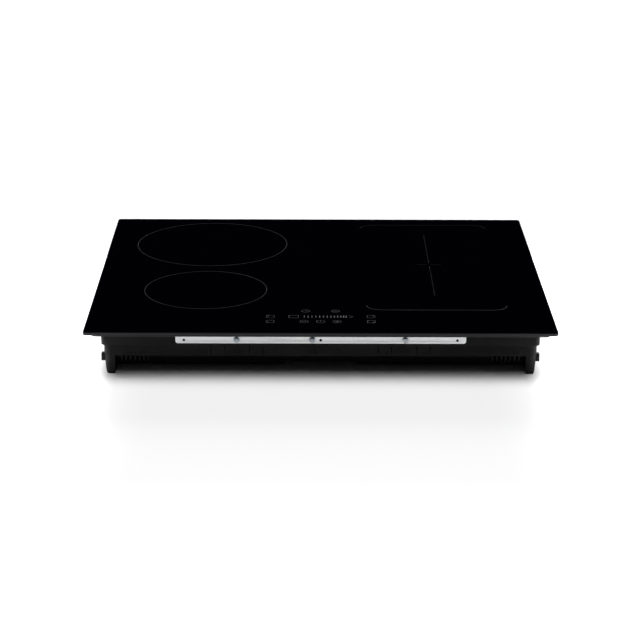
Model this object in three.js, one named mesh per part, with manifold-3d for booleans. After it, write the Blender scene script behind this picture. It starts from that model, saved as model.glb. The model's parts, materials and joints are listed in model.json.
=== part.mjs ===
// Built-in electric induction hob: a glass-ceramic top with touch controls over a shallow plastic housing.
// Millimetres, +Z up, front towards -Y. The origin is the middle of the footprint, at the soles of the feet.

import * as THREE from 'three';
import { mergeVertices } from 'three/addons/utils/BufferGeometryUtils.js';
import Module from 'manifold-3d';

const wasm = await Module();
wasm.setup();

// ---------------------------------------------------------------- driving dimensions

const HEIGHT = 61; // foot soles to the top of the glass
const GAP = 0.3; // left between pieces that touch on the real hob

const GLASS = { width: 590, depth: 513, thick: 4, corner: 5, bevel: 0.6 };
const GLASS_UNDER = HEIGHT - GLASS.thick;

const SEAL = { sideInset: 11, frontInset: 4, width: 9, thick: 2.4, corner: 4 };

const FRAME = { width: 549, depth: 480, corner: 8, wall: 2.4, bottom: 38.5, flange: 12, flangeThick: 2 };

const TRAY = {
  width: 542.4, depth: 474, corner: 8, wall: 2.4, top: 53, ledge: 24,
  tubFrontTop: -229, tubFrontFloor: -215, tubSide: 262, floor: 5.5,
};
const TRAY_REAR = TRAY.depth / 2;
const TRAY_FLOOR_IN = TRAY.floor + TRAY.wall;
const LEDGE_IN = TRAY.ledge + TRAY.wall;

const SIDE_SNAPS = [-150, 0, 150]; // along each side wall
const TONGUES = [-128.5, -80.5, 80.5, 128.5]; // along the front and rear walls
const TONGUE_HALF = 8.5;
const FIN_PITCH = 5.5;
const FINS = Array.from({ length: 7 }, (_, i) => 215.5 + FIN_PITCH * i); // either side of the middle

const FOOT = { outer: 270.4, inner: 257.3, length: 50, round: 1.6 };
const LUG = { reach: 275, y: 226, half: 4, bottom: 15, top: 24.2 };

const STRIP = { left: -181, right: 181.3, bottom: 42, top: 56, thick: 1, corner: 3 };
const STRIP_HOLES = { at: [-170.5, 0, 170.5], z: 46.2, radius: 1.75 };
const SCREW_X = { left: -104.8, centre: -10.4, right: 105.6 };
const SCREW = { z: 46.7, shank: 1.75, clearance: 2.1, head: 3.9, headHeight: 2.2, recess: 2.2, length: 11 };

const ZONES = {
  rear_left: { x: -151.5, y: 129.5, outer: 96, inner: 26 },
  front_left: { x: -151, y: -81.5, outer: 72, inner: 22 },
  rear_right: { x: 150.4, y: 130, outer: 88, inner: 25 },
  front_right: { x: 150.4, y: -66, outer: 88, inner: 25 },
};
const COIL = { mica: 0.8, winding: 4, carrier: 2, rim: 3, ferrite: 3.4, ferriteWidth: 10, ferrites: 8 };
const SUPPORT = { top: 43, thick: 1.5, side: 266, front: -156, rear: 231 };

const BOARD_Z = 12.8; // underside of the boards that lie in the tray
const BOARD_THICK = 1.6;
const BOARD_TOP = BOARD_Z + BOARD_THICK;
const POWER_BOARD = { inner: 66, outer: 236, front: -130, rear: 103 };
const FILTER_BOARD = { half: 52, front: -60, rear: 108 };

const HEAT_SINK = { x: 106, half: 38, front: -75, rear: 88, base: 4, fin: 1.4, fins: 11, height: 22 };

const FAN = {
  x: 105, y: 158, half: 45, corner: 10, bottom: 8.3, top: 33, wall: 2, chamber: 39.5, intake: 27,
};
const ROTOR = {
  radius: 36, hub: 13, disc: 1.4, blades: 14, bladeInner: 27.5, bladeThick: 1.2, pin: 1.8, bore: 2.3,
};

const TERMINAL = { left: 150, right: 234, bottom: 12, top: 33, blockFront: 205, blockRear: 229 };
const FLAP = { axisY: 240.6, axisZ: 34.8, pin: 1.2, ear: 2.4, bore: 1.6, thick: 2, bottom: 8.6 };
const INLET = { x: 104, z: 20, bore: 4.8, hole: 8, flange: 10.5 };

const CONTROL = { half: 76, front: -221, rear: -164, top: 47.6, bracket: 2 };

// ---------------------------------------------------------------- finishes

const FINISHES = {
  glass: [0x050507, 0.05, 0.0],
  seal: [0x2b2b2f, 0.9, 0.0],
  housing: [0x101012, 0.55, 0.0],
  steel: [0xb9bdbf, 0.35, 0.9],
  screw: [0x5f666e, 0.35, 0.9],
  aluminium: [0xb8babd, 0.4, 0.9],
  copper: [0xa5602f, 0.45, 0.8],
  mica: [0xcfc7b4, 0.8, 0.0],
  carrier: [0x2a2a2c, 0.7, 0.0],
  board: [0x1d5a34, 0.6, 0.0],
  component: [0x1a1a1c, 0.5, 0.0],
  rubber: [0x161616, 0.85, 0.0],
  terminal: [0xd8d6cc, 0.6, 0.0],
  lead: [0x7a1f1a, 0.6, 0.0],
};

function finish(name) {
  const [color, roughness, metalness] = FINISHES[name];
  return new THREE.MeshStandardMaterial({ color, roughness, metalness });
}

// ---------------------------------------------------------------- solids and booleans

function toSolid(geometry) {
  const bare = geometry.clone();
  bare.deleteAttribute('normal');
  bare.deleteAttribute('uv');
  const welded = mergeVertices(bare, 1e-4);
  return new wasm.Manifold(new wasm.Mesh({
    numProp: 3,
    vertProperties: new Float32Array(welded.attributes.position.array),
    triVerts: new Uint32Array(welded.index.array),
  }));
}

function toGeometry(solid) {
  const { vertProperties, triVerts } = solid.getMesh();
  const geometry = new THREE.BufferGeometry();
  geometry.setAttribute('position', new THREE.BufferAttribute(new Float32Array(vertProperties), 3));
  geometry.setIndex(new THREE.BufferAttribute(new Uint32Array(triVerts), 1));
  return geometry;
}

function join(...pieces) {
  return toGeometry(pieces.map(toSolid).reduce((sum, next) => sum.add(next)));
}

function cut(base, ...tools) {
  return toGeometry(tools.map(toSolid).reduce((left, tool) => left.subtract(tool), toSolid(base)));
}

function common(...pieces) {
  return toGeometry(pieces.map(toSolid).reduce((sum, next) => sum.intersect(next)));
}

// ---------------------------------------------------------------- basic shapes

function block(x0, x1, y0, y1, z0, z1) {
  const box = new THREE.BoxGeometry(x1 - x0, y1 - y0, z1 - z0);
  return box.translate((x0 + x1) / 2, (y0 + y1) / 2, (z0 + z1) / 2);
}

function rod(radius, z0, z1, sides = 16) {
  const upright = new THREE.CylinderGeometry(radius, radius, z1 - z0, sides).rotateX(Math.PI / 2);
  return upright.translate(0, 0, (z0 + z1) / 2);
}

function rodY(radius, y0, y1, sides = 16) {
  return new THREE.CylinderGeometry(radius, radius, y1 - y0, sides).translate(0, (y0 + y1) / 2, 0);
}

function rodX(radius, x0, x1, sides = 16) {
  const level = new THREE.CylinderGeometry(radius, radius, x1 - x0, sides).rotateZ(Math.PI / 2);
  return level.translate((x0 + x1) / 2, 0, 0);
}

// A turned piece about Z; each profile point is [radius, z], and the outline closes on itself.
function turned(profile, sides) {
  const points = [...profile, profile[0]].map(([r, z]) => new THREE.Vector2(r, z));
  return new THREE.LatheGeometry(points, sides).rotateX(Math.PI / 2);
}

function roundedRect(width, depth, radius, steps = 5) {
  const shape = new THREE.Shape();
  const corners = [[1, 1, 0], [-1, 1, 1], [-1, -1, 2], [1, -1, 3]];
  const points = corners.flatMap(([sx, sy, quarter]) => Array.from({ length: steps + 1 }, (_, i) => {
    const angle = (quarter + i / steps) * Math.PI / 2;
    const cx = sx * (width / 2 - radius);
    const cy = sy * (depth / 2 - radius);
    return new THREE.Vector2(cx + radius * Math.cos(angle), cy + radius * Math.sin(angle));
  }));
  shape.setFromPoints(points);
  return shape;
}

function outline(points) {
  return new THREE.Shape(points.map(([u, v]) => new THREE.Vector2(u, v)));
}

function extruded(shape, depth) {
  return new THREE.ExtrudeGeometry(shape, { depth, bevelEnabled: false });
}

function plate(shape, z0, z1) {
  return extruded(shape, z1 - z0).translate(0, 0, z0);
}

// Points are [y, z], carried along X.
function prismX(points, x0, x1) {
  const turn = new THREE.Matrix4().makeBasis(
    new THREE.Vector3(0, 1, 0), new THREE.Vector3(0, 0, 1), new THREE.Vector3(1, 0, 0));
  return extruded(outline(points), x1 - x0).applyMatrix4(turn).translate(x0, 0, 0);
}

// Points are [x, z], carried along Y.
function prismY(points, y0, y1) {
  return extruded(outline(points), y1 - y0).rotateX(Math.PI / 2).translate(0, y1, 0);
}

function frameRing(width, depth, corner, band, z0, z1) {
  const hole = roundedRect(width - 2 * band, depth - 2 * band, Math.max(corner - band, 1));
  return cut(plate(roundedRect(width, depth, corner), z0, z1), plate(hole, z0 - 1, z1 + 1));
}

function tube(points, radius, steps, sides = 8) {
  const path = new THREE.CatmullRomCurve3(points.map((p) => new THREE.Vector3(...p)));
  const section = new THREE.Shape(Array.from({ length: sides }, (_, i) => {
    const angle = i / sides * Math.PI * 2;
    return new THREE.Vector2(radius * Math.cos(angle), radius * Math.sin(angle));
  }));
  return new THREE.ExtrudeGeometry(section, { steps, extrudePath: path, bevelEnabled: false });
}

function mirrored(geometry, sx, sy) {
  const copy = toGeometry(toSolid(geometry));
  copy.applyMatrix4(new THREE.Matrix4().makeScale(sx, sy, 1));
  if (sx * sy < 0) copy.index.array.reverse();
  return copy;
}

// ---------------------------------------------------------------- glass, seal and frame

function glassTop() {
  const { width, depth, thick, corner, bevel } = GLASS;
  const shape = roundedRect(width, depth, corner, 8);
  const slab = new THREE.ExtrudeGeometry(shape, {
    depth: thick - 2 * bevel, bevelEnabled: true, bevelThickness: bevel, bevelSize: bevel,
    bevelOffset: -bevel, bevelSegments: 2,
  });
  return slab.translate(0, 0, GLASS_UNDER + bevel);
}

function worktopSeal() {
  const top = GLASS_UNDER - GAP;
  const width = GLASS.width - 2 * SEAL.sideInset;
  const depth = GLASS.depth - 2 * SEAL.frontInset;
  return frameRing(width, depth, SEAL.corner, SEAL.width, top - SEAL.thick, top);
}

function screwHoles(y0, y1) {
  return Object.values(SCREW_X).map((x) => rodY(SCREW.clearance, y0, y1, 12).translate(x, 0, SCREW.z));
}

function glassFrame() {
  const { width, depth, corner, wall, bottom, flange, flangeThick } = FRAME;
  const top = GLASS_UNDER - GAP;
  const wallRing = frameRing(width, depth, corner, wall, bottom, top);
  const flangeRing = frameRing(width, depth, corner, flange, top - flangeThick, top);
  const face = depth / 2;
  const holes = [...screwHoles(-face - 1, -face + 4), ...screwHoles(face - 4, face + 1)];
  return cut(join(wallRing, flangeRing), ...holes);
}

// ---------------------------------------------------------------- base tray

// The deep middle of the tray: its front slopes in towards the floor, its other walls are upright.
function tub(inset, top) {
  const floor = TRAY.floor + inset;
  const profile = [
    [TRAY.tubFrontTop + inset, top], [TRAY.tubFrontTop + inset, TRAY.ledge + inset],
    [TRAY.tubFrontFloor + inset, floor], [TRAY_REAR - inset, floor], [TRAY_REAR - inset, top],
  ];
  return prismX(profile, -TRAY.tubSide + inset, TRAY.tubSide - inset);
}

// One corner foot at +X, -Y: a rib that runs back from the tray's front, narrowest at its sole.
function foot() {
  const { outer, inner, length, round } = FOOT;
  const front = -TRAY_REAR;
  const rear = front + length;
  const top = LEDGE_IN;
  const section = [[inner, 1], [inner + 1, 0], [outer - 3.4, 0], [outer - 2.2, 2], [outer - 0.6, 14],
    [outer, 18], [outer, top], [inner, top]];
  const side = [[front, round], [front + round, 0], [rear - round, 0], [rear, round],
    [rear, top], [front, top]];
  const corner = plate(roundedRect(2 * outer, TRAY.depth, TRAY.corner), -1, top);
  return common(prismY(section, front, rear), prismX(side, inner - 5, outer + 5), corner);
}

// Upright fins across the gap under the front ledge, near each corner.
function ventFins() {
  const front = -TRAY_REAR;
  const rear = -220;
  const profile = [[front - 0.5, 28], [front - 0.5, 19], [front + 1, 18], [rear, 18], [rear, 26],
    [front + 1, 28]];
  return FINS.flatMap((x) => [-x, x].map((at) => prismX(profile, at - 0.8, at + 0.8)));
}

function ventSlots() {
  return FINS.slice(1).flatMap((x) => [-x, x].map((at) => {
    const middle = at - Math.sign(at) * FIN_PITCH / 2;
    return block(middle - 1.5, middle + 1.5, -229, -212, 11, 21);
  }));
}

// A detail made for the front wall, turned by quarters of a circle to one of the other walls.
function onWall(geometry, quarters) {
  return geometry.rotateZ(quarters * Math.PI / 2);
}

// The two narrow cuts that free a springy tongue in the wall.
function tongueCuts(at, face) {
  return [at - TONGUE_HALF, at + TONGUE_HALF].map((x) => (
    block(x - 0.5, x + 0.5, -face - 1, -face + TRAY.wall + 1, LEDGE_IN + 0.6, FRAME.bottom + 2)));
}

// Wedge with a wider toe, that the frame's lower edge snaps behind.
function snapWedge(at, face) {
  const proud = -face - 2.4;
  const profile = [[-face + 1, 38], [-face, 38], [proud, 29], [proud, 26.8], [-face + 1, 25.8]];
  const toe = block(at - 4.4, at + 4.4, proud, -face + 1, 26.4, 28.6);
  return join(prismX(profile, at - 2.7, at + 2.7), toe);
}

function wallWedges() {
  const side = TRAY.width / 2;
  return [
    ...Object.values(SCREW_X).map((x) => snapWedge(x, TRAY_REAR)),
    ...[1, 3].flatMap((quarters) => SIDE_SNAPS.map((at) => onWall(snapWedge(at, side), quarters))),
  ];
}

function wallCuts() {
  const side = TRAY.width / 2;
  return [
    ...[0, 2].flatMap((quarters) => TONGUES.flatMap((at) => tongueCuts(at, TRAY_REAR)
      .map((slot) => onWall(slot, quarters)))),
    ...[1, 3].flatMap((quarters) => SIDE_SNAPS.flatMap((at) => tongueCuts(at, side)
      .map((slot) => onWall(slot, quarters)))),
  ];
}

function screwBosses() {
  const face = TRAY_REAR - TRAY.wall;
  return Object.values(SCREW_X).flatMap((x) => [-1, 1].map((side) => {
    const [near, far] = [side * (face - 8), side * (face + 0.6)].sort((a, b) => a - b);
    return rodY(3.6, near, far, 10).translate(x, 0, SCREW.z);
  }));
}

function floorGrille(centreX, centreY, reach) {
  const pitch = 6.4;
  const count = Math.floor(reach / pitch);
  return Array.from({ length: 2 * count + 1 }, (_, i) => {
    const offset = (i - count) * pitch;
    const half = Math.sqrt(reach * reach - offset * offset);
    return block(centreX + offset - 1.6, centreX + offset + 1.6, centreY - half, centreY + half,
      TRAY.floor - 1, TRAY_FLOOR_IN + 1);
  });
}

function rearLouvres() {
  return Array.from({ length: 18 }, (_, i) => {
    const x = -222 + 6.2 * i;
    return block(x - 1.5, x + 1.5, TRAY_REAR - TRAY.wall - 1, TRAY_REAR + 1, 14, 30);
  });
}

const POSTS = [-140, 40, 215].flatMap((y) => [-1, 1].map((side) => [side * 263.4, y]));

function boardStandOffs() {
  const { inner, outer, front, rear } = POWER_BOARD;
  const power = [[inner + 8, front + 8], [outer - 8, front + 8], [inner + 8, rear - 8],
    [outer - 8, rear - 8]];
  const filter = [[-1, -1], [1, -1], [-1, 1], [1, 1]].map(([sx, sy]) => [
    sx * (FILTER_BOARD.half - 6),
    sy < 0 ? FILTER_BOARD.front + 6 : FILTER_BOARD.rear - 6,
  ]);
  const all = [...power, ...power.map(([x, y]) => [-x, y]), ...filter];
  return all.map(([x, y]) => rod(3, TRAY_FLOOR_IN - 0.5, BOARD_Z - GAP, 8).translate(x, y, 0));
}

// The air channel under the middle of the front edge, as wide above as the tray's front is cut away.
function frontChannel(drop, widen) {
  const top = TRAY.floor + 5.4 + drop;
  const bottom = TRAY.floor - 2;
  const half = 42.5 + widen;
  const foot = half + 6;
  return prismY([[-half, top], [-foot, bottom], [foot, bottom], [half, top]], TRAY.tubFrontTop - 1, -110);
}

function flapEars() {
  const { axisY, axisZ, ear, bore } = FLAP;
  const profile = [[TRAY_REAR - 1, axisZ - 3.2], [axisY, axisZ - 3.2], [axisY + 3, axisZ - 1.4],
    [axisY + 3, axisZ + 1.4], [axisY, axisZ + 3.2], [TRAY_REAR - 1, axisZ + 3.2]];
  return [TERMINAL.left - 4.4 - ear, TERMINAL.right + 4.4].map((x) => {
    const hole = rodX(bore, x - 1, x + ear + 1, 16).translate(0, axisY, axisZ);
    return cut(prismX(profile, x, x + ear), hole);
  });
}

// Short lugs that stand out of the feet's outer sides.
function sideLugs() {
  const { reach, y, half, bottom, top } = LUG;
  const lug = block(FOOT.outer - 4, reach, -y - half, -y + half, bottom, top);
  return [[1, 1], [-1, 1], [1, -1], [-1, -1]].map(([sx, sy]) => mirrored(lug, sx, sy));
}

function baseTray() {
  const { width, depth, corner, wall, top, ledge } = TRAY;
  const rim = plate(roundedRect(width, depth, corner), ledge, top);
  const rimHollow = plate(roundedRect(width - 2 * wall, depth - 2 * wall, corner - wall), LEDGE_IN, top + 1);
  const feet = [[1, 1], [-1, 1], [1, -1], [-1, -1]].map(([sx, sy]) => mirrored(foot(), sx, sy));
  const outer = join(rim, tub(0, ledge + 1), ...feet, ...ventFins(), ...wallWedges(), ...sideLugs());
  const channelRoof = common(frontChannel(wall, wall), tub(0, ledge + 1));
  const shell = join(cut(outer, rimHollow, tub(wall, LEDGE_IN + 1)), channelRoof);
  const postTop = SUPPORT.top - SUPPORT.thick - GAP;
  const posts = POSTS.map(([x, y]) => rod(3.2, LEDGE_IN - 0.5, postTop, 10).translate(x, y, 0));
  const [within, without] = [TRAY_REAR - wall - 1, TRAY_REAR + 1];
  const window = block(TERMINAL.left, TERMINAL.right, within, without, TERMINAL.bottom, TERMINAL.top);
  const inlet = rodY(INLET.hole, within, without, 20).translate(INLET.x, 0, INLET.z);
  const grown = join(shell, ...posts, ...boardStandOffs(), ...screwBosses(), ...flapEars());
  return cut(grown, frontChannel(0, 0), ...ventSlots(), ...wallCuts(), ...rearLouvres(), window, inlet,
    ...floorGrille(-FAN.x, FAN.y, FAN.intake), ...floorGrille(FAN.x, FAN.y, FAN.intake),
    ...screwHoles(-TRAY_REAR - 1, -TRAY_REAR + 9), ...screwHoles(TRAY_REAR - 9, TRAY_REAR + 1));
}

// ---------------------------------------------------------------- strips and screws

// Flat galvanised strip across the frame's front wall, with its corners rounded.
function frontStrip() {
  const { left, right, bottom, top, thick, corner } = STRIP;
  const face = -FRAME.depth / 2 - GAP;
  const sheet = extruded(roundedRect(right - left, top - bottom, corner, 4), thick).rotateX(Math.PI / 2);
  sheet.translate((left + right) / 2, face, (bottom + top) / 2);
  const { at, z, radius } = STRIP_HOLES;
  const holes = at.map((x) => rodY(radius, face - 3, face + 1, 12).translate(x, 0, z));
  return cut(sheet, ...holes, ...screwHoles(face - 3, face + 1));
}

function rearStrip() {
  return mirrored(frontStrip(), 1, -1);
}

// Pan-head screw with a cross recess, its head towards -Y and its seat at y = 0.
function stripScrew() {
  const { shank, head, headHeight, recess, length } = SCREW;
  const profile = [[0, -length], [shank * 0.5, -length], [shank, -length + 2], [shank, 0], [head, 0],
    [head, headHeight * 0.45], [head * 0.72, headHeight * 0.85], [head * 0.3, headHeight], [0, headHeight]];
  const points = profile.map(([r, z]) => new THREE.Vector2(r, z));
  const body = new THREE.LatheGeometry(points, 12);
  const slot = [block(-recess, recess, 0.9, 4, -0.45, 0.45), block(-0.45, 0.45, 0.9, 4, -recess, recess)];
  return cut(body, ...slot).rotateX(Math.PI);
}

function placedScrew(x, end) {
  const seat = -FRAME.depth / 2 - GAP - STRIP.thick - GAP;
  const screw = stripScrew().translate(x, seat, SCREW.z);
  return end > 0 ? mirrored(screw, 1, -1) : screw;
}

// ---------------------------------------------------------------- induction coils

const COIL_TOP = GLASS_UNDER - GAP; // the mica's upper face, just under the glass
const WINDING_TOP = COIL_TOP - COIL.mica - GAP;
const CARRIER_TOP = WINDING_TOP - COIL.winding - GAP;

function disc(outer, inner, z0, z1, sides) {
  return turned([[inner, z0], [outer, z0], [outer, z1], [inner, z1]], sides);
}

function micaDisc({ outer }) {
  return disc(outer, 9, COIL_TOP - COIL.mica, COIL_TOP, 32);
}

function winding({ outer, inner }) {
  const bottom = WINDING_TOP - COIL.winding;
  const profile = [[inner, bottom], [outer, bottom], [outer, WINDING_TOP - 1], [outer - 1, WINDING_TOP],
    [inner + 1, WINDING_TOP], [inner, WINDING_TOP - 1]];
  return turned(profile, 36);
}

// Dished carrier with its ferrite bars bonded underneath like spokes.
function coilCarrier({ outer }) {
  const bottom = CARRIER_TOP - COIL.carrier;
  const dish = disc(outer + COIL.rim, 12, bottom, CARRIER_TOP, 32);
  const lip = disc(outer + COIL.rim, outer + COIL.rim - 2, bottom, CARRIER_TOP + 2.4, 32);
  const half = COIL.ferriteWidth / 2;
  const bars = Array.from({ length: COIL.ferrites }, (_, i) => {
    const bar = block(20, outer - 2, -half, half, bottom - COIL.ferrite, bottom + 0.4);
    return bar.rotateZ((i + 0.5) / COIL.ferrites * Math.PI * 2);
  });
  return join(dish, lip, ...bars);
}

// Sprung temperature sensor that stands in the coil's hole and touches the glass.
function panSensor() {
  const top = COIL_TOP;
  const profile = [[0, top - 16], [7, top - 16], [7, top - 11.4], [4.5, top - 10], [4.5, top - 3],
    [6.5, top - 2], [6.5, top], [0, top]];
  return turned(profile, 12);
}

function supportPlate() {
  const { top, thick, side, front, rear } = SUPPORT;
  const sheet = block(-side, side, front, rear, top - thick, top);
  const carrierUnder = CARRIER_TOP - COIL.carrier;
  const tongues = Object.values(ZONES).flatMap(({ x, y, outer }) => [0, 1, 2].map((i) => {
    const profile = [[-9, top - 0.5], [-9, top + 0.6], [7, carrierUnder - GAP], [11, carrierUnder - GAP],
      [11, carrierUnder - GAP - 1], [7, carrierUnder - GAP - 1], [-8, top - 0.5]];
    const tongue = prismX(profile, -4, 4).translate(outer * 0.62, 0, 0);
    return tongue.rotateZ((i * 3 + 1.0) / COIL.ferrites * Math.PI * 2).translate(x, y, 0);
  }));
  const eye = (x, y) => rod(14, top - thick - 1, top + 1, 20).translate(x, y, 0);
  const eyes = Object.values(ZONES).map(({ x, y }) => eye(x, y));
  const leadSlots = Object.values(ZONES).map((zone) => {
    const [x, y] = leadPoint(zone);
    return block(x - 6, x + 6, y - 6, y + 6, top - thick - 1, top + 1);
  });
  return cut(join(sheet, ...tongues), ...eyes, ...leadSlots);
}

// Where a coil's lead pair drops through the support plate: on the side of the coil nearest the middle.
function leadPoint({ x, y, outer }) {
  return [x - Math.sign(x) * (outer + COIL.rim + 6.5), y];
}

function coilLead(zone) {
  const [x, y] = leadPoint(zone);
  const side = Math.sign(zone.x);
  const start = zone.x - side * (zone.outer + COIL.rim + 1.5);
  const boardX = side * (POWER_BOARD.inner + 6);
  const boardY = y > 50 ? HEAT_SINK.rear + 7.5 : HEAT_SINK.front - 10.5;
  const z = CARRIER_TOP + 0.4;
  return tube([[start, y, z], [x, y, z - 2], [x, y, SUPPORT.top - 4], [x, (y + boardY) / 2, 34],
    [boardX, boardY, 27], [boardX, boardY, BOARD_TOP + GAP]], 2, 14, 6);
}

// ---------------------------------------------------------------- electronics

function powerBoard(side) {
  const { inner, outer, front, rear } = POWER_BOARD;
  const board = block(inner, outer, front, rear, BOARD_Z, BOARD_TOP);
  const parts = [
    [158, 186, -118, -98, 16], [194, 226, -118, -92, 18], [158, 176, -80, -50, 20], [184, 202, -80, -50, 20],
    [210, 228, -78, -50, 14], [160, 200, 60, 92, 16], [208, 228, 50, 90, 12], [72, 92, -118, -96, 12],
    [100, 140, -122, -100, 14],
  ].map(([x0, x1, y0, y1, height]) => block(x0, x1, y0, y1, BOARD_Z + 0.5, BOARD_TOP + height));
  const packages = [-50, -22, 6, 34, 62].map((y) => (
    block(147.2, 151, y - 8, y + 8, BOARD_Z + 0.5, BOARD_TOP + 20)));
  return mirrored(join(board, ...parts, ...packages), side, 1);
}

function heatSink(side) {
  const { x, half, front, rear, base, fin, fins, height } = HEAT_SINK;
  const z = BOARD_TOP + GAP;
  const pitch = (2 * half - fin) / (fins - 1);
  const comb = Array.from({ length: fins }, (_, i) => {
    const left = x - half + i * pitch;
    return [[left, z + base], [left, z + height], [left + fin, z + height], [left + fin, z + base]];
  }).flat();
  return mirrored(prismY([[x + half, z], [x - half, z], ...comb], front, rear), side, 1);
}

function filmCapacitor(side) {
  const z = BOARD_TOP + GAP;
  const shape = roundedRect(22, 40, 2, 2);
  return mirrored(plate(shape, z, z + 20).translate(196, 0, 0), side, 1);
}

function fanHousing(side) {
  const { x, y, half, corner, bottom, top, wall, chamber, intake } = FAN;
  const outer = plate(roundedRect(2 * half, 2 * half, corner), bottom, top);
  const hollow = rod(chamber, bottom + wall, top - wall, 36);
  const mouth = block(-34, 34, -half - 1, 0, bottom + wall, top - wall);
  const inlet = rod(intake, bottom - 1, bottom + wall + 1, 28);
  const pin = rod(ROTOR.pin, bottom + 10, top - 1, 12);
  const housing = join(cut(outer, hollow, mouth, inlet), pin);
  return housing.translate(side * x, y, 0);
}

// Blower wheel: a hub cup and a disc above, with the blades hanging from the disc's rim.
function fanRotor(side) {
  const { radius, hub, disc: thick, blades, bladeInner, bladeThick, bore } = ROTOR;
  const top = FAN.top - FAN.wall - 0.8;
  const bottom = FAN.bottom + FAN.wall + 1;
  const cup = turned([[0, bottom + 4], [hub - 2, bottom + 4], [hub, bottom + 6], [hub, top], [bore, top],
    [bore, bottom + 6.5], [0, bottom + 6.5]], 16);
  const wheel = disc(radius, bore, top - thick, top, 28);
  const ring = disc(radius, radius - 3, bottom, bottom + 1.2, 28);
  const vanes = Array.from({ length: blades }, (_, i) => {
    const half = bladeThick / 2;
    const vane = block(bladeInner, radius - 0.4, -half, half, bottom + 0.3, top - thick + 0.3);
    return vane.rotateZ(i / blades * Math.PI * 2);
  });
  return join(cup, wheel, ring, ...vanes).translate(side * FAN.x, FAN.y, 0);
}

function filterBoard() {
  const { half, front, rear } = FILTER_BOARD;
  const board = block(-half, half, front, rear, BOARD_Z, BOARD_TOP);
  const parts = [
    [-46, -18, 66, 82, 15], [14, 44, 70, 96, 14], [-44, -24, -50, -30, 12], [20, 44, -48, -20, 16],
    [-8, 8, -56, -50, 8],
  ].map(([x0, x1, y0, y1, height]) => block(x0, x1, y0, y1, BOARD_Z + 0.5, BOARD_TOP + height));
  return join(board, ...parts);
}

function filterChoke() {
  const z = BOARD_TOP + GAP;
  const section = Array.from({ length: 8 }, (_, i) => {
    const angle = (i + 0.5) / 8 * Math.PI * 2;
    return [14 + 6.5 * Math.cos(angle), z + 8 * (1 + Math.sin(angle))];
  });
  return turned(section, 24).translate(0, 38, 0);
}

function filterCapacitor() {
  const z = BOARD_TOP + GAP;
  return plate(roundedRect(20, 30, 2, 2), z, z + 19).translate(-30, 8, 0);
}

// ---------------------------------------------------------------- mains terminal and flap

function terminalBlock() {
  const { blockFront, blockRear } = TERMINAL;
  const base = block(158, 226, blockFront, blockRear, TRAY_FLOOR_IN + GAP, 24);
  const ways = [0, 1, 2, 3, 4].map((i) => 164 + 14 * i);
  const wells = ways.map((x) => rod(3.6, 15, 25, 12).translate(x, blockFront + 9, 0));
  const mouths = ways.map((x) => block(x - 3, x + 3, blockRear - 8, blockRear + 1, 13, 20));
  return cut(base, ...wells, ...mouths);
}

// Flap over the terminal window. It hangs from two stub pins along its top edge.
function terminalCover() {
  const { axisY, axisZ, pin, thick, bottom } = FLAP;
  const left = TERMINAL.left - 4;
  const right = TERMINAL.right + 4;
  const inner = TRAY_REAR + 0.4;
  const outer = inner + thick;
  const profile = [[inner, bottom], [outer, bottom], [outer, axisZ - 2.2], [axisY, axisZ - 2.2],
    [axisY + 2.2, axisZ], [axisY, axisZ + 2.2], [inner + 0.6, axisZ + 1.4], [inner, axisZ - 1]];
  const panel = prismX(profile, left, right);
  const grip = [[inner + 1, bottom], [inner + 4.6, bottom - 1.6], [inner + 4.6, bottom],
    [inner + 1, bottom + 3]];
  const lip = prismX(grip, right - 54, right - 38);
  const pins = rodX(pin, left - 2.4, right + 2.4, 16).translate(0, axisY, axisZ);
  return join(panel, lip, pins);
}

// Rubber grommet in the cable inlet: a ring with a groove that the tray's wall sits in.
function cableGrommet() {
  const { x, z, bore, hole, flange } = INLET;
  const near = TRAY_REAR - TRAY.wall - GAP;
  const far = TRAY_REAR + GAP;
  const groove = hole - GAP;
  const profile = [[bore, near - 2], [flange, near - 2], [flange, near], [groove, near], [groove, far],
    [flange, far], [flange - 1, far + 2], [bore, far + 2]];
  return turned(profile, 20).rotateX(-Math.PI / 2).translate(x, 0, z);
}

function mainsLead() {
  return tube([[157, 216, 17], [148, 218, 18], [110, 213, 18], [60, 212, 18], [40, 200, 19], [30, 150, 20],
    [26, 118, 24], [26, 104, 30], [26, 102, 34]], 3, 26);
}

// ---------------------------------------------------------------- touch control

function controlBracket() {
  const { half, front, rear, top, bracket } = CONTROL;
  const bottom = top - 9;
  const outer = block(-half - 4, half + 4, front - 4, rear + 3, bottom, top - 1.6);
  const hollow = block(-half - 1.5, half + 1.5, front - 1.5, rear + 0.8, bottom + bracket, top);
  const rests = [[-1, -1], [1, -1], [-1, 1], [1, 1]].map(([sx, sy]) => {
    const y = sy < 0 ? front + 4 : rear - 4;
    return rod(2.6, bottom + 1, top - BOARD_THICK - GAP, 8).translate(sx * (half - 5), y, 0);
  });
  const window = block(-30, 30, -204, -184, bottom - 1, bottom + bracket + 1);
  const legs = [-1, 1].map((side) => block(side * (half - 6) - 5, side * (half - 6) + 5, front - 4, front + 4,
    LEDGE_IN + GAP, bottom + 1));
  return cut(join(outer, ...legs), hollow, window);
}

const KEYS = [[-63.5, -192.4], [-63.5, -212.2], [63.9, -192.4], [63.9, -212], [-18.9, -170.4], [19.2, -170.4],
  [-20.8, -212.2], [0, -212.2], [20.8, -212.2]];
const SLIDER_KEYS = Array.from({ length: 6 }, (_, i) => [-34.5 + 14.2 * i, -192.8]);

// Touch board with the contact spring of each key standing on it.
function controlBoard() {
  const { half, front, rear, top } = CONTROL;
  const board = block(-half, half, front, rear, top - BOARD_THICK, top);
  const spring = (x, y) => rod(3.4, top - 1, GLASS_UNDER - GAP, 6).translate(x, y, 0);
  return join(board, ...[...KEYS, ...SLIDER_KEYS].map(([x, y]) => spring(x, y)));
}

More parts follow.
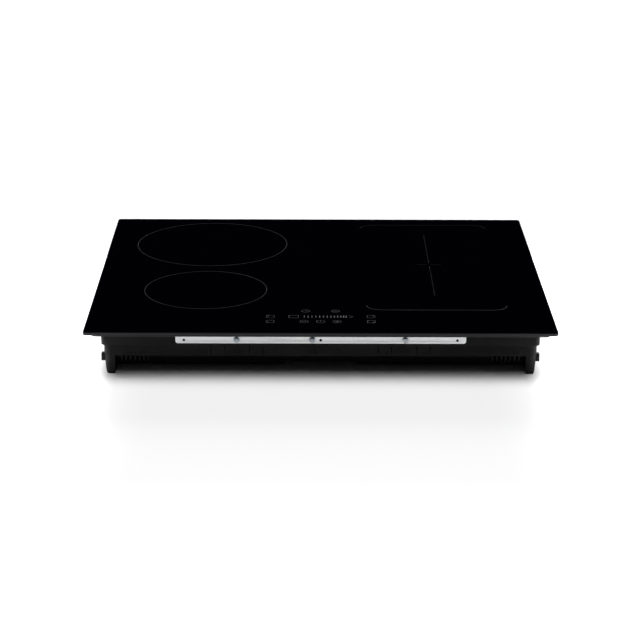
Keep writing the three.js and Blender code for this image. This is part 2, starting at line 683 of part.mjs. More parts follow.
function displayModule(side) {
  const z = CONTROL.top + GAP;
  return block(side * 48.5 - 6, side * 48.5 + 6, -208, -194, z, z + 7.2);
}

function controlRibbon() {
  const route = [[0, -194, 45.6], [0, -194, 40], [0, -187, 33], [0, -168, 29], [0, -140, 20], [0, -100, 17.6],
    [0, -70, 18], [0, -56.4, 18]];
  const path = new THREE.CatmullRomCurve3(route.map((p) => new THREE.Vector3(...p)));
  const section = outline([[-9, -0.5], [9, -0.5], [9, 0.5], [-9, 0.5]]);
  return new THREE.ExtrudeGeometry(section, { steps: 18, extrudePath: path, bevelEnabled: false });
}

// ---------------------------------------------------------------- assembly

const hob = new THREE.Group();
hob.name = 'induction_hob';

function add(name, geometry, material) {
  geometry.computeVertexNormals();
  const mesh = new THREE.Mesh(geometry, finish(material));
  mesh.name = name;
  hob.add(mesh);
}

add('glass_top', glassTop(), 'glass');
add('worktop_seal', worktopSeal(), 'seal');
add('glass_frame', glassFrame(), 'housing');
add('base_tray', baseTray(), 'housing');
add('front_strip', frontStrip(), 'steel');
add('rear_strip', rearStrip(), 'steel');
for (const [place, x] of Object.entries(SCREW_X)) {
  add(`front_strip_screw_${place}`, placedScrew(x, -1), 'screw');
  add(`rear_strip_screw_${place}`, placedScrew(x, 1), 'screw');
}

add('coil_support_plate', supportPlate(), 'aluminium');
for (const [place, zone] of Object.entries(ZONES)) {
  const at = (geometry) => geometry.translate(zone.x, zone.y, 0);
  add(`mica_disc_${place}`, at(micaDisc(zone)), 'mica');
  add(`coil_winding_${place}`, at(winding(zone)), 'copper');
  add(`coil_carrier_${place}`, at(coilCarrier(zone)), 'carrier');
  add(`pan_sensor_${place}`, at(panSensor()), 'terminal');
  add(`coil_lead_${place}`, coilLead(zone), 'lead');
}

for (const [place, side] of [['left', -1], ['right', 1]]) {
  add(`power_board_${place}`, powerBoard(side), 'board');
  add(`heat_sink_${place}`, heatSink(side), 'aluminium');
  add(`film_capacitor_${place}`, filmCapacitor(side), 'component');
  add(`fan_housing_${place}`, fanHousing(side), 'component');
  add(`fan_rotor_${place}`, fanRotor(side), 'component');
  add(`display_module_${place}`, displayModule(side), 'component');
}

add('filter_board', filterBoard(), 'board');
add('filter_choke', filterChoke(), 'copper');
add('filter_capacitor', filterCapacitor(), 'component');
add('terminal_block', terminalBlock(), 'terminal');
add('terminal_cover', terminalCover(), 'housing');
add('cable_grommet', cableGrommet(), 'rubber');
add('mains_lead', mainsLead(), 'lead');
add('control_bracket', controlBracket(), 'carrier');
add('control_board', controlBoard(), 'board');
add('control_ribbon', controlRibbon(), 'terminal');

export default hob;
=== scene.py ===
import json
import math

import bmesh
import bpy
from mathutils import Matrix, Vector


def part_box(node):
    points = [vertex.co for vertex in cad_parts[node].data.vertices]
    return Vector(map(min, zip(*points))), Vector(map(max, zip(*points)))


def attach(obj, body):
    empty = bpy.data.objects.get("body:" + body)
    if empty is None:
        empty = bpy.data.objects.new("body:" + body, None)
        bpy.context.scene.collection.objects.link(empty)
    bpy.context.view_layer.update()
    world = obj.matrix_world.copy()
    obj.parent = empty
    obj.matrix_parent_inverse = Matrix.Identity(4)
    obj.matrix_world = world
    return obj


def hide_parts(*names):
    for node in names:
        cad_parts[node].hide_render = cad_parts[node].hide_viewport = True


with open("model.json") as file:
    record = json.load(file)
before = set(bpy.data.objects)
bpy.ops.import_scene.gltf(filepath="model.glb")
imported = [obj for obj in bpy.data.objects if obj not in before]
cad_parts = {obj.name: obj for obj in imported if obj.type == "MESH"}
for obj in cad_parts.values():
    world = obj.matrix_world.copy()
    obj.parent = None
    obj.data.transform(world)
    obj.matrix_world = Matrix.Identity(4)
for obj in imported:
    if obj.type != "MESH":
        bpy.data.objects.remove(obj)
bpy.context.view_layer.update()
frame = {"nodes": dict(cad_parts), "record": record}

# The looks of a built-in induction hob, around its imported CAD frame. Metres, +Z up, front towards -Y.

MM = 0.001
NODES = frame["nodes"]
GLASS_LOW, GLASS_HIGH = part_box("glass_top")
GLASS_TOP = GLASS_HIGH.z


# ---------------------------------------------------------------- camera, light and floor

# The place is counted in mm from the middle of the glass, the angles are in degrees.
CAMERA = {"at": (-16.4, -2655.3, 830.0), "lens": 115.45, "down": 18.72, "right": 0.366, "roll": 0.253}


def make_camera():
    """Stands where the photographer stood."""
    data = bpy.data.cameras.new("camera")
    data.sensor_width = 36
    data.lens = CAMERA["lens"]
    camera = bpy.data.objects.new("camera", data)
    bpy.context.scene.collection.objects.link(camera)
    turn = (Matrix.Rotation(-math.radians(CAMERA["right"]), 4, "Z")
            @ Matrix.Rotation(math.radians(90 - CAMERA["down"]), 4, "X")
            @ Matrix.Rotation(math.radians(CAMERA["roll"]), 4, "Z"))
    place = Vector(CAMERA["at"]) * MM + Vector((0, 0, GLASS_TOP))
    camera.matrix_world = Matrix.Translation(place) @ turn
    bpy.context.scene.camera = camera


def add_node(tree, kind, values=None, **settings):
    """Adds a node with its settings. A value that is a socket is linked, and any other is set."""
    made = tree.nodes.new(kind)
    for key, value in settings.items():
        setattr(made, key, value)
    for key, value in (values or {}).items():
        if isinstance(value, bpy.types.NodeSocket):
            tree.links.new(value, made.inputs[key])
        else:
            made.inputs[key].default_value = value
    return made


class StudioNodes:
    """Small helpers for the node trees of the surroundings and the floor."""

    def __init__(self, owner):
        owner.use_nodes = True
        self.tree = owner.node_tree
        self.tree.nodes.clear()

    def node(self, kind, values=None, **settings):
        return add_node(self.tree, kind, values, **settings)

    def ramp(self, value, stops):
        made = self.node("ShaderNodeValToRGB", {0: value})
        while len(made.color_ramp.elements) < len(stops):
            made.color_ramp.elements.new(0.5)
        for element, (position, colour) in zip(made.color_ramp.elements, stops):
            element.position = position
            element.color = (*colour, 1)
        return made.outputs[0]

    def shine(self, colour, strength):
        return self.node("ShaderNodeBackground", {"Color": colour, "Strength": strength}).outputs[0]

    def choose(self, which, no, yes):
        return self.node("ShaderNodeMixShader", {0: which, 1: no, 2: yes}).outputs[0]


# What gloss sees by height (Z) and by how far to a side (X) it looks, then how bright the rest is.
SKY = {
    "ceiling": [(0.34, (0.0012, 0.0010, 0.0030)), (0.46, (0.015, 0.015, 0.018)),
                (0.72, (0.20, 0.20, 0.21)), (0.95, (0.6, 0.6, 0.6))],
    "flags": [(0.45, (0, 0, 0)), (0.85, (0.32, 0.32, 0.34))],
    "fill": 0.035,
    "backdrop": 1.05,
}


def make_world():
    """White where the camera looks. Gloss sees a dark studio with pale flags and a pale ceiling."""
    world = bpy.data.worlds.new("studio")
    bpy.context.scene.world = world
    nodes = StudioNodes(world)
    direction = nodes.node("ShaderNodeTexCoord").outputs["Generated"]
    split = nodes.node("ShaderNodeSeparateXYZ", {0: direction})
    ceiling = nodes.ramp(split.outputs["Z"], SKY["ceiling"])
    across = nodes.node("ShaderNodeMath", {0: split.outputs["X"]}, operation="ABSOLUTE").outputs[0]
    flags = nodes.ramp(across, SKY["flags"])
    both = nodes.node("ShaderNodeMix", {0: 1.0, 6: ceiling, 7: flags},
                      data_type="RGBA", blend_type="ADD").outputs[2]
    ray = nodes.node("ShaderNodeLightPath").outputs
    white = (1, 1, 1, 1)
    unlit = nodes.choose(ray["Is Glossy Ray"], nodes.shine(white, SKY["fill"]), nodes.shine(both, 1.0))
    seen = nodes.choose(ray["Is Camera Ray"], unlit, nodes.shine(white, SKY["backdrop"]))
    nodes.node("ShaderNodeOutputWorld", {"Surface": seen})


def soft_light(name, place, aim, shape, size, power, spread=180):
    """A light that floor and walls feel, but that the camera and polished surfaces don't see."""
    data = bpy.data.lights.new(name, "AREA")
    data.shape = shape
    data.size = size[0]
    data.size_y = size[-1]
    data.energy = power
    data.spread = math.radians(spread)
    light = bpy.data.objects.new(name, data)
    bpy.context.scene.collection.objects.link(light)
    light.location = place
    light.rotation_mode = "QUATERNION"
    light.rotation_quaternion = (Vector(aim) - Vector(place)).to_track_quat("-Z", "Y")
    light.visible_glossy = False
    light.visible_camera = False


# Metres, apart from the albedo and the glow.
FLOOR = {"reach": 14, "albedo": 0.87, "even_from": 1.6, "even_to": 3.2, "even_glow": 1.08}


def make_floor():
    """A pale matt floor that is lit evenly further out, so that it runs into the white backdrop."""
    mesh = bpy.data.meshes.new("floor")
    reach = FLOOR["reach"]
    corners = [(-reach, -reach, 0), (reach, -reach, 0), (reach, reach, 0), (-reach, reach, 0)]
    mesh.from_pydata(corners, [], [(0, 1, 2, 3)])
    floor = bpy.data.objects.new("floor", mesh)
    bpy.context.scene.collection.objects.link(floor)
    material = bpy.data.materials.new("floor")
    material.use_nodes = True
    nodes = StudioNodes(material)
    place = nodes.node("ShaderNodeTexCoord").outputs["Object"]
    away = nodes.node("ShaderNodeVectorMath", {0: place}, operation="LENGTH").outputs["Value"]
    stops = {"Value": away, "From Min": FLOOR["even_from"], "From Max": FLOOR["even_to"]}
    far = nodes.node("ShaderNodeMapRange", stops, interpolation_type="SMOOTHSTEP")
    matt = nodes.node("ShaderNodeBsdfDiffuse", {"Color": (*[FLOOR["albedo"]] * 3, 1)}).outputs[0]
    glow = nodes.node("ShaderNodeEmission", {"Strength": FLOOR["even_glow"]}).outputs[0]
    nodes.node("ShaderNodeOutputMaterial", {"Surface": nodes.choose(far.outputs[0], matt, glow)})
    mesh.materials.append(material)


# Place and aim in metres, shape, size in metres, power in watts.
LIGHTS = {
    "overhead": ((0.0, -0.27, 6.0), (0, -0.25, 0), "DISK", (7.4,), 350),
    "overhead_middle": ((0.0, -0.27, 6.0), (0, -0.25, 0), "DISK", (4.2,), 144),
    "back_bank": ((0.0, 5.2, 1.8), (0, -0.4, 0), "RECTANGLE", (2.6, 1.4), 158),
    "back_strip": ((0.0, 5.2, 0.85), (0, -0.4, 0), "RECTANGLE", (2.6, 0.52), 335),
}
# Gridded strips that come in pairs: grid keeps the long shadow off the floor beside the hob, and
# side whitens the floor up to the housing.
STRIP_HEIGHT = 0.606
STRIPS = {
    "grid": {"out": 0.835, "aim": 0.484, "y": -0.13, "size": (0.86, 0.3), "power": 0.95, "spread": 14},
    "side": {"out": 0.698, "aim": 0.348, "y": -0.01, "size": (0.56, 0.125), "power": 0.3, "spread": 3},
}


def make_studio():
    """A diffuser overhead, a low bank behind for the faint long shadow, and strips at both sides."""
    make_camera()
    make_world()
    make_floor()
    for name, light in LIGHTS.items():
        soft_light(name, *light)
    for name, strip in STRIPS.items():
        for end, side in (("left", -1), ("right", 1)):
            place = (side * strip["out"], strip["y"], STRIP_HEIGHT)
            aim = (side * strip["aim"], strip["y"], 0)
            soft_light(f"{end}_{name}", place, aim, "RECTANGLE", strip["size"], strip["power"],
                       strip["spread"])
    bpy.context.scene.view_settings.view_transform = "Standard"


# ---------------------------------------------------------------- materials


class Paint:
    """A Principled material whose pattern is built from nodes in the object's own coordinates."""

    def __init__(self, name, colour, roughness, metallic=0.0, **sockets):
        self.material = bpy.data.materials.new(name)
        self.material.use_nodes = True
        self.tree = self.material.node_tree
        self.shader = self.tree.nodes["Principled BSDF"]
        self.set("Base Color", (*colour, 1))
        self.set("Roughness", roughness)
        self.set("Metallic", metallic)
        for socket, value in sockets.items():
            self.set(socket.replace("_", " "), value)
        self.place = self.tree.nodes.new("ShaderNodeTexCoord").outputs["Object"]

    def set(self, socket, value):
        self.shader.inputs[socket].default_value = value

    def node(self, kind, values=None, **settings):
        return add_node(self.tree, kind, values, **settings)

    def link(self, output, socket):
        self.tree.links.new(output, self.shader.inputs[socket])

    def stretched(self, x, y, z):
        scale = self.node("ShaderNodeMapping", {"Vector": self.place, "Scale": (x, y, z)})
        return scale.outputs[0]

    def noise(self, size_mm, detail=3.0, vector=None):
        made = self.node("ShaderNodeTexNoise", {
            "Vector": vector or self.place, "Scale": 1 / (size_mm * MM), "Detail": detail, "Roughness": 0.55})
        return made.outputs["Fac"]

    def cells(self, size_mm, output="Color"):
        made = self.node("ShaderNodeTexVoronoi", {"Vector": self.place, "Scale": 1 / (size_mm * MM)})
        return made.outputs[output]

    def between(self, value, low, high, from_low=0.0, from_high=1.0):
        made = self.node("ShaderNodeMapRange", {
            "Value": value, "From Min": from_low, "From Max": from_high, "To Min": low, "To Max": high})
        return made.outputs[0]

    def blend(self, factor, first, second):
        made = self.node("ShaderNodeMix", {"Factor": factor}, data_type="RGBA")
        for socket, value in ((made.inputs[6], first), (made.inputs[7], second)):
            if isinstance(value, bpy.types.NodeSocket):
                self.tree.links.new(value, socket)
            else:
                socket.default_value = (*value, 1)
        return made.outputs[2]

    def bump(self, height, depth_mm, strength=1.0):
        values = {"Height": height, "Distance": depth_mm * MM, "Strength": strength}
        self.link(self.node("ShaderNodeBump", values).outputs[0], "Normal")


def glass_paint():
    """Polished black glass-ceramic with the faintest mottling and wiped smears."""
    paint = Paint("glass_ceramic", (0.0003, 0.0003, 0.0005), 0.04, Specular_IOR_Level=0.25)
    mottle = paint.blend(paint.noise(60, 4), (0.0001, 0.0001, 0.0002), (0.0003, 0.0003, 0.0007))
    paint.link(mottle, "Base Color")
    paint.link(paint.between(paint.noise(45, 5), 0.03, 0.06), "Roughness")
    return paint.material


def ground_glass_paint():
    """The glass's ground edge: dull and grey violet, with streaks along it from the wheel."""
    paint = Paint("ground_glass", (0.012, 0.012, 0.015), 0.38, Specular_IOR_Level=0.3)
    cloud = paint.between(paint.noise(30, 4), 0, 1, 0.3, 0.7)
    paint.link(paint.blend(cloud, (0.0048, 0.0046, 0.0068), (0.0100, 0.0096, 0.0128)), "Base Color")
    paint.link(paint.between(paint.noise(0.6, 3, paint.stretched(1, 1, 8)), 0.30, 0.46), "Roughness")
    return paint.material


def moulded_paint(name, colour, lighter, roughness, grain_mm=0.55, depth_mm=0.03, specular=0.2):
    """Spark-textured plastic: fine grain, faint flow marks, and handling that polishes it here and there."""
    paint = Paint(name, colour, roughness, Specular_IOR_Level=specular)
    flow = paint.noise(38, 4, paint.stretched(1, 1, 3))
    paint.link(paint.blend(paint.between(flow, 0, 1, 0.35, 0.7), colour, lighter), "Base Color")
    paint.link(paint.between(paint.noise(14, 5), roughness - 0.1, roughness + 0.1), "Roughness")
    paint.bump(paint.noise(grain_mm, 4), depth_mm, 0.6)
    return paint.material


def galvanised_paint():
    """Zinc spangle: crystals of a few mm, each with its own tone and gloss, over fine rolling lines."""
    paint = Paint("galvanised_steel", (0.82, 0.83, 0.84), 0.5, 1.0)
    crystal = paint.node("ShaderNodeSeparateColor", {0: paint.cells(2.6)}).outputs[0]
    rolled = paint.noise(0.5, 3, paint.stretched(0.04, 1, 1))
    tone = paint.blend(crystal, (0.78, 0.795, 0.80), (0.86, 0.875, 0.88))
    worn = paint.blend(paint.between(rolled, 0, 0.25, 0.3, 0.75), tone, (0.73, 0.745, 0.75))
    paint.link(worn, "Base Color")
    paint.link(paint.between(crystal, 0.46, 0.58), "Roughness")
    paint.bump(rolled, 0.01, 0.3)
    return paint.material


def metal_paint(name, colour, darker, roughness, grain_mm=0.4, stretch=(1, 0.05, 1)):
    """Metal with fine lines along one axis and soft clouding."""
    paint = Paint(name, colour, roughness, 1.0)
    lines = paint.noise(grain_mm, 3, paint.stretched(*stretch))
    cloud = paint.noise(9, 4)
    paint.link(paint.blend(paint.between(cloud, 0, 1, 0.3, 0.75), colour, darker), "Base Color")
    paint.link(paint.between(lines, roughness - 0.08, roughness + 0.12), "Roughness")
    paint.bump(lines, 0.01, 0.35)
    return paint.material


def foam_paint():
    """Closed-cell sealing foam: dark grey, with small cells whose pits are painted darker towards their
    middles as painted shade.
    """
    paint = Paint("seal_foam", (0.03, 0.03, 0.034), 0.85, Specular_IOR_Level=0.25)
    cell_pits_and_painted_shade = paint.cells(0.7, output="Distance")
    # Each cell's colour darkens towards its middle, where the bump sinks into a pit: painted shade.
    paint.link(paint.blend(cell_pits_and_painted_shade, (0.018, 0.018, 0.021), (0.046, 0.046, 0.052)), "Base Color")
    paint.bump(cell_pits_and_painted_shade, 0.08, 0.7)
    return paint.material


def enamel_paint(name, shade):
    """Grey ceramic print, fired on: a half-tone of fine dots over the black glass."""
    paint = Paint(name, (shade, shade, shade), 0.4, Specular_IOR_Level=0.2)
    dots = paint.between(paint.cells(0.35, output="Distance"), 0, 1, 0.1, 0.6)
    pale, dark = [(k * shade, k * shade, k * shade * 1.04) for k in (1.3, 0.7)]
    paint.link(paint.blend(dots, pale, dark), "Base Color")
    paint.bump(paint.noise(0.3, 2), 0.005, 0.4)
    return paint.material


def litz_paint():
    """Bundled enamelled copper strands: the colour is painted lighter along each crown as a painted
    highlight, and darker between crowns as painted shade.
    """
    paint = Paint("litz_copper", (0.45, 0.2, 0.08), 0.4, 0.85)
    strand_relief_and_painted_sheen = paint.noise(0.8, 4)
    # The strand relief also sets the colour: painted highlight on the crowns, painted shade in the dips
    # between them.
    paint.link(paint.blend(strand_relief_and_painted_sheen, (0.30, 0.115, 0.04), (0.62, 0.30, 0.13)), "Base Color")
    paint.link(paint.between(strand_relief_and_painted_sheen, 0.3, 0.55), "Roughness")
    paint.bump(strand_relief_and_painted_sheen, 0.08, 0.8)
    return paint.material


def mica_paint():
    """Pressed mica flakes in a pale binder."""
    paint = Paint("mica", (0.6, 0.56, 0.45), 0.55)
    flake = paint.node("ShaderNodeSeparateColor", {0: paint.cells(1.6)}).outputs[0]
    paint.link(paint.blend(flake, (0.48, 0.44, 0.34), (0.70, 0.66, 0.55)), "Base Color")
    paint.link(paint.between(flake, 0.35, 0.7), "Roughness")
    paint.bump(flake, 0.02, 0.4)
    return paint.material


def board_paint():
    """Green solder mask: copper areas and tracks show through a little lighter."""
    paint = Paint("circuit_board", (0.02, 0.11, 0.05), 0.35)
    track = paint.node("ShaderNodeTexBrick", {
        "Vector": paint.place, "Scale": 160.0, "Mortar Size": 0.03, "Color1": (0.03, 0.15, 0.06, 1),
        "Color2": (0.014, 0.085, 0.036, 1), "Mortar": (0.006, 0.045, 0.02, 1)})
    paint.link(track.outputs["Color"], "Base Color")
    paint.bump(track.outputs["Fac"], 0.03, 0.4)
    return paint.material


def make_paints():
    return {
        "glass_ceramic": glass_paint(),
        "ground_glass": ground_glass_paint(),
        "seal_tape": foam_paint(),
        "housing_plastic": moulded_paint(
            "housing_plastic", (0.0016, 0.0016, 0.0017), (0.004, 0.004, 0.0042), 0.5, specular=0.14),
        "galvanised_steel": galvanised_paint(),
        "screw_steel": metal_paint(
            "screw_steel", (0.56, 0.60, 0.64), (0.26, 0.29, 0.34), 0.28, 0.5, (1, 1, 1)),
        "aluminium": metal_paint("aluminium", (0.66, 0.67, 0.68), (0.52, 0.53, 0.54), 0.38),
        "litz_copper": litz_paint(),
        "mica": mica_paint(),
        "carrier_plastic": moulded_paint("carrier_plastic", (0.02, 0.02, 0.022), (0.035, 0.035, 0.037), 0.6),
        "circuit_board": board_paint(),
        "component_plastic": moulded_paint(
            "component_plastic", (0.012, 0.012, 0.013), (0.022, 0.022, 0.023), 0.45),
        "rubber": moulded_paint("rubber", (0.008, 0.008, 0.008), (0.014, 0.014, 0.014), 0.75, 0.9, 0.04),
        "ceramic_white": moulded_paint("ceramic_white", (0.62, 0.60, 0.54), (0.72, 0.70, 0.64), 0.5),
        "lead_sleeve": moulded_paint("lead_sleeve", (0.22, 0.02, 0.015), (0.30, 0.035, 0.025), 0.6),
        "zone_print": enamel_paint("zone_print", 0.02),
        "faint_print": enamel_paint("faint_print", 0.008),
        "key_print": enamel_paint("key_print", 0.042),
        "tick_print": enamel_paint("tick_print", 0.085),
    }


# ---------------------------------------------------------------- the CAD nodes' own surfaces


def smooth_group(angle):
    """Geometry nodes that shade a mesh smooth, but leave edges sharper than the angle crisp."""
    tree = bpy.data.node_groups.new("smooth_by_angle", "GeometryNodeTree")
    tree.interface.new_socket("Geometry", in_out="INPUT", socket_type="NodeSocketGeometry")
    tree.interface.new_socket("Geometry", in_out="OUTPUT", socket_type="NodeSocketGeometry")
    new = tree.nodes.new
    link = tree.links.new
    enter, leave = new("NodeGroupInput"), new("NodeGroupOutput")
    faces, edges = new("GeometryNodeSetShadeSmooth"), new("GeometryNodeSetShadeSmooth")
    edges.domain = "EDGE"
    turn = new("GeometryNodeInputMeshEdgeAngle")
    gentle = new("FunctionNodeCompare")
    gentle.operation = "LESS_THAN"
    gentle.inputs[1].default_value = angle
    link(turn.outputs["Unsigned Angle"], gentle.inputs[0])
    link(gentle.outputs[0], edges.inputs["Shade Smooth"])
    link(enter.outputs[0], faces.inputs["Geometry"])
    link(faces.outputs[0], edges.inputs["Geometry"])
    link(edges.outputs[0], leave.inputs[0])
    return tree


WELD_MM = 0.002
FLAT_BELOW = math.radians(0.5)
SMOOTH_BELOW = math.radians(32)
BEVEL_ABOVE = math.radians(38)
BEVELS_MM = {"worktop_seal": 0.4, "glass_frame": 0.35, "base_tray": 0.3, "front_strip": 0.12,
             "rear_strip": 0.12, "terminal_cover": 0.3, "cable_grommet": 0.25}


def dress_node(node, material, bevel_mm, smooth):
    """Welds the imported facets, merges flat ones, rounds the hard edges and shades the rest smooth."""
    piece = NODES[node]
    weld = piece.modifiers.new("weld", "WELD")
    weld.merge_threshold = WELD_MM * MM
    flatten = piece.modifiers.new("flatten", "DECIMATE")
    flatten.decimate_type = "DISSOLVE"
    flatten.angle_limit = FLAT_BELOW
    if bevel_mm:
        bevel = piece.modifiers.new("bevel", "BEVEL")
        bevel.limit_method = "ANGLE"
        bevel.angle_limit = BEVEL_ABOVE
        bevel.width = bevel_mm * MM
        bevel.segments = 2
        bevel.use_clamp_overlap = True
    shade = piece.modifiers.new("shade", "NODES")
    shade.node_group = smooth
    for slot in piece.material_slots:
        slot.link = "OBJECT"
        slot.material = material


def dress_nodes(paints):
    smooth = smooth_group(SMOOTH_BELOW)
    slots = {s["node"]: s["material_slot"] for s in frame["record"]["subparts"]}
    for node in NODES:
        dress_node(node, paints[slots[node]], BEVELS_MM.get(node, 0), smooth)


# ---------------------------------------------------------------- helpers for pieces


def arc(cx, cy, rx, ry, start, end, steps):
    """Points in mm along an ellipse, angles in degrees."""
    turns = [math.radians(start + (end - start) * i / steps) for i in range(steps + 1)]
    return [(cx + rx * math.cos(a), cy + ry * math.sin(a)) for a in turns]


def rounded_outline(cx, cy, half_x, half_y, radius, steps):
    """Points in mm round a rectangle with rounded corners, anticlockwise from its right side."""
    points = []
    for side_x, side_y, start in ((1, 1, 0), (-1, 1, 90), (-1, -1, 180), (1, -1, 270)):
        middle = (cx + side_x * (half_x - radius), cy + side_y * (half_y - radius))
        points += arc(*middle, radius, radius, start, start + 90, steps)
    return points


def finish_piece(name, bm, material):
    """Turns the solids in bm into a piece that is part of the glass."""
    bmesh.ops.recalc_face_normals(bm, faces=bm.faces)
    mesh = bpy.data.meshes.new(name)
    bm.to_mesh(mesh)
    bm.free()
    mesh.materials.append(material)
    piece = bpy.data.objects.new(name, mesh)
    bpy.context.scene.collection.objects.link(piece)
    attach(piece, "hob")
    return piece


# ---------------------------------------------------------------- the glass

GLASS_CORNER = 5  # mm
GLASS_BEVEL = 0.6  # mm
CORNER_STEPS = 12
BEVEL_STEPS = 4


def glass_ring(bm, inset, z):
    """Vertices round the glass's rounded outline, drawn in by so many mm, at a height in metres."""
    half_x, half_y = [high / MM - inset for high in (GLASS_HIGH.x, GLASS_HIGH.y)]
    outline = rounded_outline(0, 0, half_x, half_y, GLASS_CORNER - inset, CORNER_STEPS)
    return [bm.verts.new((x * MM, y * MM, z)) for x, y in outline]


def make_glass(polished, ground):
    """The glass slab: polished faces and top bevel, ground flat edge."""
    bm = bmesh.new()
    bevels = [math.radians(90 * i / BEVEL_STEPS) for i in range(BEVEL_STEPS + 1)]
    profile = [(GLASS_BEVEL * (1 - math.cos(a)), GLASS_BEVEL * (1 - math.sin(a))) for a in bevels]
    levels = [(inset, GLASS_LOW.z + drop * MM) for inset, drop in reversed(profile)]
    levels += [(inset, GLASS_TOP - drop * MM) for inset, drop in profile]
    rings = [glass_ring(bm, inset, z) for inset, z in levels]
    for k, (low, high) in enumerate(zip(rings, rings[1:])):
        for i in range(len(low)):
            n = (i + 1) % len(low)
            face = bm.faces.new((low[i], low[n], high[n], high[i]))
            face.smooth = True
            face.material_index = 1 if k == BEVEL_STEPS else 0
    bm.faces.new(rings[0][::-1])
    bm.faces.new(rings[-1])
    glass = finish_piece("glass", bm, polished)
    glass.data.materials.append(ground)
    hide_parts("glass_top")


# ---------------------------------------------------------------- printed zones and touch symbols

PRINT_LIFT = 0.04 * MM
PRINT_SINK = 0.02 * MM
SHARPEST_MITRE = 0.4


def circle(cx, cy, radius, steps):
    return arc(cx, cy, radius, radius, 0, 360, steps)[:-1]


def add_stroke(bm, points, width, closed=False):
    """A flat raised line of even width along the points, mitred at its corners, as one closed solid."""
    count = len(points)
    sides = []
    for i, (x, y) in enumerate(points):
        here = Vector((x, y))
        before = Vector(points[i - 1]) if closed or i else None
        after = Vector(points[(i + 1) % count]) if closed or i < count - 1 else None
        into = (here - before).normalized() if before is not None else (after - here).normalized()
        out = (after - here).normalized() if after is not None else into
        normal = Vector((-(into + out).y, (into + out).x)).normalized()
        reach = width / 2 / max(normal.dot(Vector((-into.y, into.x))), SHARPEST_MITRE)
        sides.append((here + normal * reach, here - normal * reach))
    rings = []
    for left, right in sides:
        corners = [(left, PRINT_LIFT), (right, PRINT_LIFT), (right, -PRINT_SINK), (left, -PRINT_SINK)]
        rings.append([bm.verts.new((p.x * MM, p.y * MM, GLASS_TOP + z)) for p, z in corners])
    pairs = [(i, (i + 1) % count) for i in range(count if closed else count - 1)]
    for a, b in pairs:
        for k in range(4):
            n = (k + 1) % 4
            bm.faces.new((rings[a][k], rings[a][n], rings[b][n], rings[b][k]))
    if not closed:
        bm.faces.new(rings[0][::-1])
        bm.faces.new(rings[-1])


def print_piece(name, strokes, enamel):
    """One printed mark; each stroke is (points, width, closed)."""
    bm = bmesh.new()
    for points, width, closed in strokes:
        add_stroke(bm, points, width, closed)
    finish_piece(name, bm, enamel)


# All in mm from the middle of the glass. A ring is its middle and its radius.
RING_WIDTH = 1.1
BRACKET_WIDTH = 1.4
RINGS = {"rear_left": (-150.9, 128.3, 104.9), "front_left": (-150.4, -82.0, 80.2)}
FLEX = {"x": 149.8, "half": 90.1, "front": -165.2, "rear": 226.1, "end_x": 20, "end_y": 17}
CROSS = {"y": 31.3, "bar": 16.2, "front": -106.8, "rear": 173.1, "gap_y": 7.4, "gap_x": 2.2}


def print_zones(enamel, faint):
    for name, (cx, cy, radius) in RINGS.items():
        print_piece(f"print_ring_{name}", [(circle(cx, cy, radius, 144), RING_WIDTH, True)], enamel)
    x, half, dx, dy = FLEX["x"], FLEX["half"], FLEX["end_x"], FLEX["end_y"]
    for name, y, way in (("front", FLEX["front"], 1), ("rear", FLEX["rear"], -1)):
        left = arc(x - half + dx, y + way * dy, dx, dy, 180, 180 + way * 90, 12)
        right = arc(x + half - dx, y + way * dy, dx, dy, -way * 90, 0, 12)
        shade = enamel if name == "front" else faint
        print_piece(f"print_flex_bracket_{name}", [(left + right, BRACKET_WIDTH, False)], shade)
    y, bar, gap_x, gap_y = CROSS["y"], CROSS["bar"], CROSS["gap_x"], CROSS["gap_y"]
    lines = [
        [(x, y + gap_y), (x, CROSS["rear"])],
        [(x, y - gap_y), (x, CROSS["front"])],
        [(x - bar, y), (x - gap_x, y)],
        [(x + gap_x, y), (x + bar, y)],
    ]
    print_piece("print_flex_cross", [(line, RING_WIDTH, False) for line in lines], faint)


KEY_LINE = 0.75
KEY_RADIUS = 5.1
KEY_SQUARE = {"half": 4.9, "corner": 1.7, "line": 0.62, "dot": 2.2, "dot_x": 2.9, "dot_y": 2.7}
KEY_ROWS = {"far": -170.4, "rear": -192.4, "front": -212.2}


def zone_key(cx, cy, corner_x, corner_y):
    """Rounded square that stands for the glass, with a dot in the corner of its zone."""
    half, dot = KEY_SQUARE["half"], KEY_SQUARE["dot"]
    outline = rounded_outline(cx, cy, half, half, KEY_SQUARE["corner"], 5)
    x, y = cx + corner_x * KEY_SQUARE["dot_x"], cy + corner_y * KEY_SQUARE["dot_y"]
    return [(outline, KEY_SQUARE["line"], True), ([(x - dot / 2, y), (x + dot / 2, y)], dot, False)]


def round_key(cx, cy, *marks):
    """A circle round its marks. Each is (points, width), drawn about the circle's middle."""
    placed = [([(cx + x, cy + y) for x, y in points], width, False) for points, width in marks]
    return [(circle(cx, cy, KEY_RADIUS, 40), KEY_LINE, True), *placed]


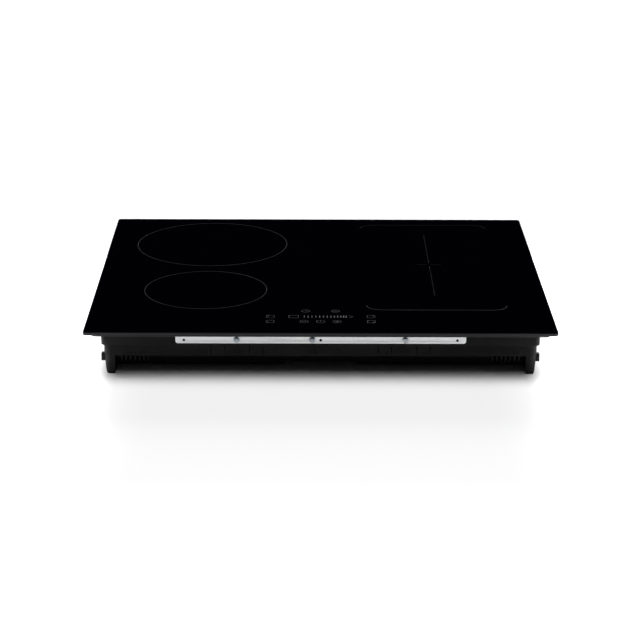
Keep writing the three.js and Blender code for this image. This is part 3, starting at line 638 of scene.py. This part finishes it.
def print_keys(enamel):
    far, rear, front = KEY_ROWS["far"], KEY_ROWS["rear"], KEY_ROWS["front"]
    clock_hands = [(0, 3.6), (0, 0), (2.5, -1.6)]
    dome, plate = arc(0, -0.9, 2.4, 2.8, 0, 180, 12), [(-2.6, -1.8), (2.6, -1.8)]
    left_bar, right_bar = [[(x, -2.4), (x, 2.4)] for x in (-1.4, 1.4)]
    shackle, lock = arc(0, 1.0, 1.6, 2.0, 0, 180, 10), [(-2.2, -1.2), (2.2, -1.2)]
    open_circle = arc(0, front, KEY_RADIUS, KEY_RADIUS, 115, 425, 36)
    stem = [(0, front), (0, front + 6.2)]
    keys = {
        "zone_rear_left": zone_key(-63.5, rear, -1, 1),
        "zone_front_left": zone_key(-63.5, front, -1, -1),
        "zone_rear_right": zone_key(63.9, rear, 1, 1),
        "zone_front_right": zone_key(63.9, front, 1, -1),
        "timer": round_key(-18.9, far, (clock_hands, KEY_LINE)),
        "linked_zones": round_key(19.2, far, (dome, KEY_LINE), (plate, KEY_LINE)),
        "pause": round_key(-20.8, front, (left_bar, KEY_LINE), (right_bar, KEY_LINE)),
        "power": [(open_circle, KEY_LINE, False), (stem, KEY_LINE + 0.2, False)],
        "child_lock": round_key(20.8, front, (shackle, KEY_LINE), (lock, 2.8)),
    }
    for name, strokes in keys.items():
        print_piece(f"print_key_{name}", strokes, enamel)


TICK = {"count": 13, "first": -20.6, "last": 32.5, "half": 4.0, "thin": 0.8, "growth": 0.05, "crowding": 0.45}
SLIDER = {"y": -192.8, "half": 4.8, "left": -40.2, "box": -28.1, "tip_base": 36.0, "tip": 41.2}


def print_slider(enamel, tick_enamel):
    """Power slider: an empty box at zero, then ticks that crowd and thicken towards a pointed end."""
    y, half, left, right = SLIDER["y"], SLIDER["half"], SLIDER["left"], SLIDER["box"]
    box = [(left, y - half), (right, y - half), (right, y + half), (left, y + half)]
    point = [(SLIDER["tip_base"], y - half), (SLIDER["tip"], y), (SLIDER["tip_base"], y + half)]
    print_piece("print_slider", [(box, KEY_LINE, True), (point, KEY_LINE, False)], enamel)
    steps = TICK["count"] - 1
    gaps = [1 - TICK["crowding"] * (i / steps) ** 3 for i in range(steps)]
    step = (TICK["last"] - TICK["first"]) / sum(gaps)
    ticks = []
    for i in range(TICK["count"]):
        x = TICK["first"] + step * sum(gaps[:i])
        width = TICK["thin"] + TICK["growth"] * i
        ticks.append(([(x, y - TICK["half"]), (x, y + TICK["half"])], width, False))
    print_piece("print_slider_ticks", ticks, tick_enamel)


# ---------------------------------------------------------------- build

make_studio()
PAINTS = make_paints()
dress_nodes(PAINTS)
make_glass(PAINTS["glass_ceramic"], PAINTS["ground_glass"])
print_zones(PAINTS["zone_print"], PAINTS["faint_print"])
print_keys(PAINTS["key_print"])
print_slider(PAINTS["key_print"], PAINTS["tick_print"])
